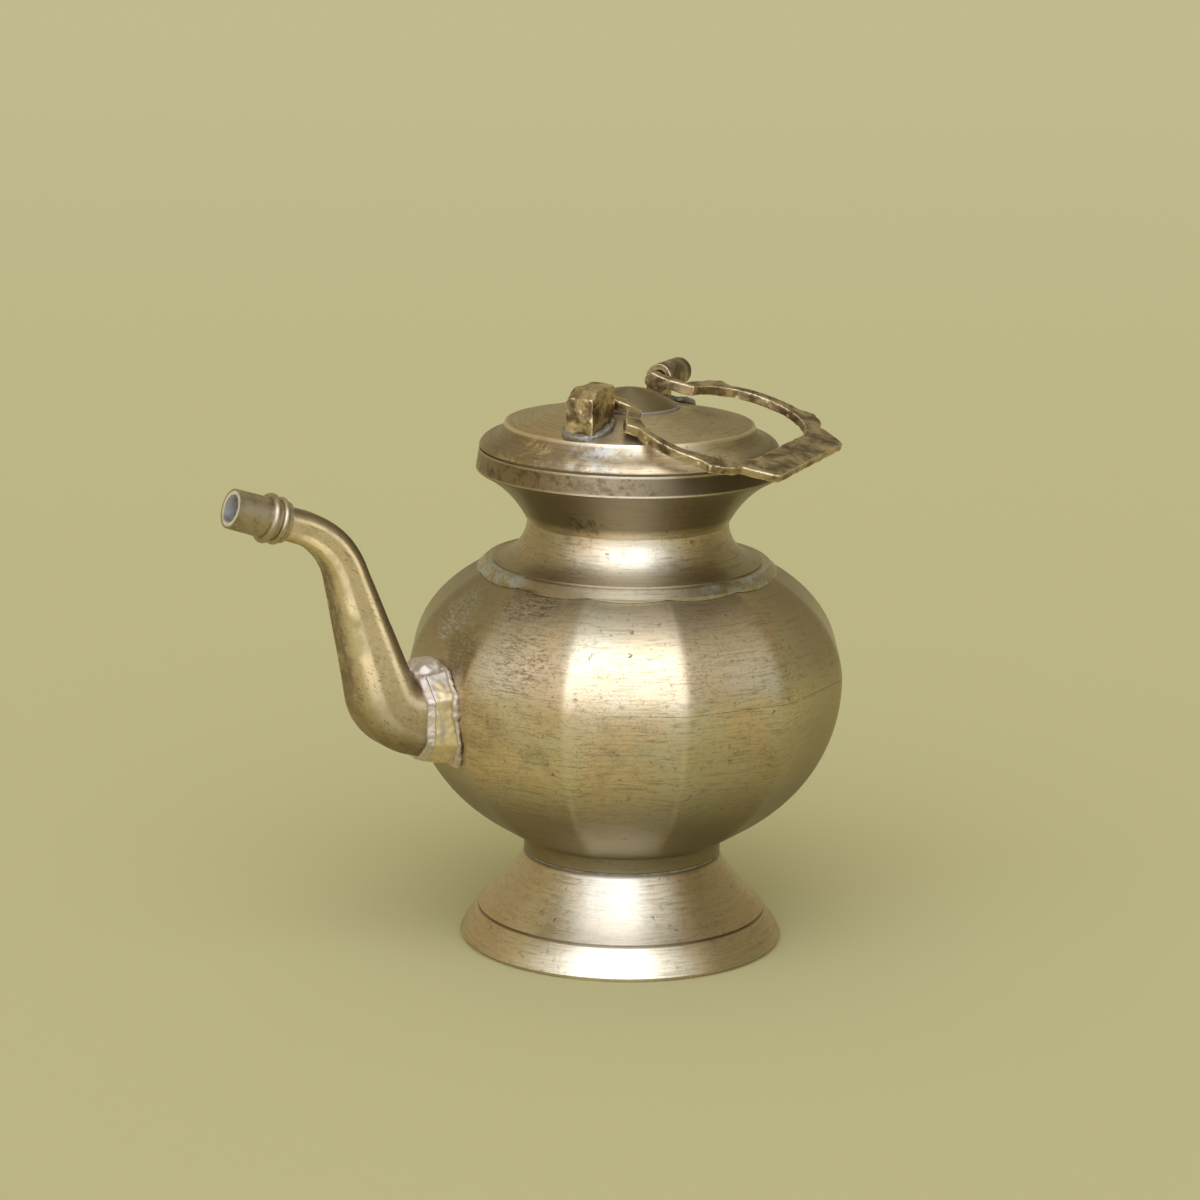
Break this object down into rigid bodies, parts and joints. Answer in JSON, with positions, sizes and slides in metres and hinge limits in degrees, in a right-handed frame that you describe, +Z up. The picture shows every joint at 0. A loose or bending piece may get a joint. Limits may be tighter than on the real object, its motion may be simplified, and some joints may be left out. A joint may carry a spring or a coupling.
{
  "type": "kamandal water pot",
  "caption": "Brass kamandal: faceted globe pot on a flared foot, with an S-curved spout, a waisted neck, a screw lid and a swinging flat bail handle.",
  "frame": {"origin": "centre of the foot's flat underside, on the pot's axis", "axes": "+Z up along the pot's axis, -X out along the spout, Y across it"},
  "size_m": [0.1684, 0.111, 0.1492],
  "materials": {
    "foot_brass": "turned, dull, scratched",
    "bowl_brass": "beaten, mottled, satin",
    "neck_brass": "turned, satin",
    "spout_brass": "filed, satin",
    "nozzle_brass": "turned, tinned at the mouth",
    "lid_brass": "turned, worn bright at the edges",
    "cast_brass": "rough cast, dark in the pits",
    "solder": "dull grey soft solder",
    "washer_leather": "dark, oiled"
  },
  "bodies": {
    "vessel": {"foot_pedestal": "foot_brass", "foot_solder_seam": "solder", "lower_bowl": "bowl_brass", "upper_bowl": "bowl_brass", "body_braze_seam": "solder", "neck_collar": "neck_brass", "neck_solder_seam": "solder", "spout_tube": "spout_brass", "spout_collar": "spout_brass", "spout_root_solder": "solder", "spout_neck_solder": "solder", "spout_nozzle": "nozzle_brass", "spout_ferrule": "nozzle_brass"},
    "washer": {"lid_washer": "washer_leather"},
    "lid": {"lid_cap": "lid_brass", "lid_dome": "lid_brass", "dome_solder_seam": "solder", "front_lug": "cast_brass", "rear_lug": "cast_brass", "front_lug_solder": "solder", "rear_lug_solder": "solder"},
    "handle": {"bail_handle": "cast_brass"}
  },
  "joints": [
    {"name": "lid_rise", "type": "slide", "parent": "vessel", "child": "washer", "axis": [0, 0, 1], "range_m": [0, 0.0135]},
    {"name": "lid_unscrew", "type": "hinge", "parent": "washer", "child": "lid", "pos_m": [0, 0, 0.13], "axis": [0, 0, 1], "range_deg": [0, 1620]},
    {"name": "handle_swing", "type": "hinge", "parent": "lid", "child": "handle", "pos_m": [0, 0, 0.14441], "axis": [-0.8282, -0.5586, -0.0456], "range_deg": [0, 203]}
  ],
  "couplings": [
    {"joint": "lid_rise", "follows": "lid_unscrew", "m_per_rad": 0.00047746}
  ]
}
